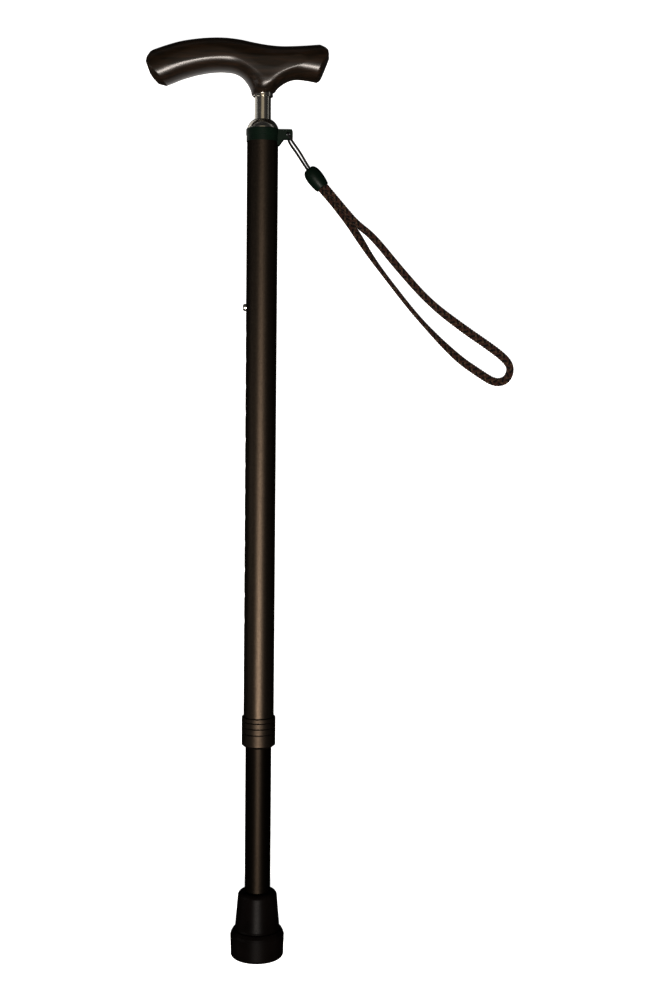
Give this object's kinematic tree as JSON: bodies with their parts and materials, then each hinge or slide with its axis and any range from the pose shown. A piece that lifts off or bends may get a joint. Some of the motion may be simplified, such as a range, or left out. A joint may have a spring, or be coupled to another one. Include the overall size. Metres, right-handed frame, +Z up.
{
  "type": "walking cane",
  "caption": "Height-adjustable single point walking cane with a wooden T handle, telescoping tubes with a snap button and lock ring, a rubber tip and a wrist strap, lying on its side.",
  "frame": {"origin": "on the floor the cane lies on, under the middle of the cane's box without its strap", "axes": "+Z up from the floor, +Y along the cane from the rubber tip towards the handle (the shaft itself slopes by about half a degree), +X towards the strap's side"},
  "size_m": [0.2664, 0.6711, 0.04],
  "materials": {
    "bronze_tube": "dark bronze anodised, satin",
    "bronze_ring": "dark bronze paint, semi-gloss",
    "black_plastic": "moulded, matte",
    "collar_plastic": "moulded black, satin",
    "seal_rubber": "matte",
    "tip_rubber": "moulded black, satin",
    "spring_steel": "hardened strip",
    "zinc_steel": "zinc plated",
    "polished_steel": "polished",
    "brass_insert": "turned",
    "lacquered_wood": "very dark brown, glossy lacquer",
    "black_cord": "twisted string",
    "brown_braid": "flat braid of dark brown and reddish yarns"
  },
  "bodies": {
    "shaft": {"handle_grip": "lacquered_wood", "handle_insert": "brass_insert", "handle_seat_ring": "polished_steel", "neck_rod": "polished_steel", "neck_dome": "polished_steel", "neck_plug": "black_plastic", "neck_pin": "spring_steel", "neck_washer": "zinc_steel", "spring_washer": "spring_steel", "neck_nut": "zinc_steel", "strap_collar": "collar_plastic", "upper_tube": "bronze_tube", "lock_collet": "black_plastic", "strap_string": "black_cord", "strap_bead": "collar_plastic", "strap_crimp": "zinc_steel", "wrist_cord": "brown_braid"},
    "lock_ring": {"lock_ring": "bronze_ring"},
    "lower_leg": {"lower_tube": "bronze_tube", "guide_bush": "black_plastic", "rattle_ring": "seal_rubber", "snap_spring": "spring_steel", "lower_end_plug": "black_plastic", "tip_washer": "zinc_steel", "rubber_tip": "tip_rubber"},
    "snap_button": {"snap_button": "polished_steel"}
  },
  "joints": [
    {"name": "height_slide", "type": "slide", "parent": "shaft", "child": "lower_leg", "axis": [0, -1, 0.0086], "range_m": [0, 0.228]},
    {"name": "lock_turn", "type": "hinge", "parent": "shaft", "child": "lock_ring", "pos_m": [0.0181, -0.16551, 0.01869], "axis": [0, 1, -0.0086], "range_deg": [0, 180]},
    {"name": "button_press", "type": "slide", "parent": "lower_leg", "child": "snap_button", "axis": [1, 0, 0], "range_m": [0, 0.0038], "stiffness_N_per_m": 1000, "springref_m": -0.0015, "deforming": ["snap_spring"]}
  ]
}
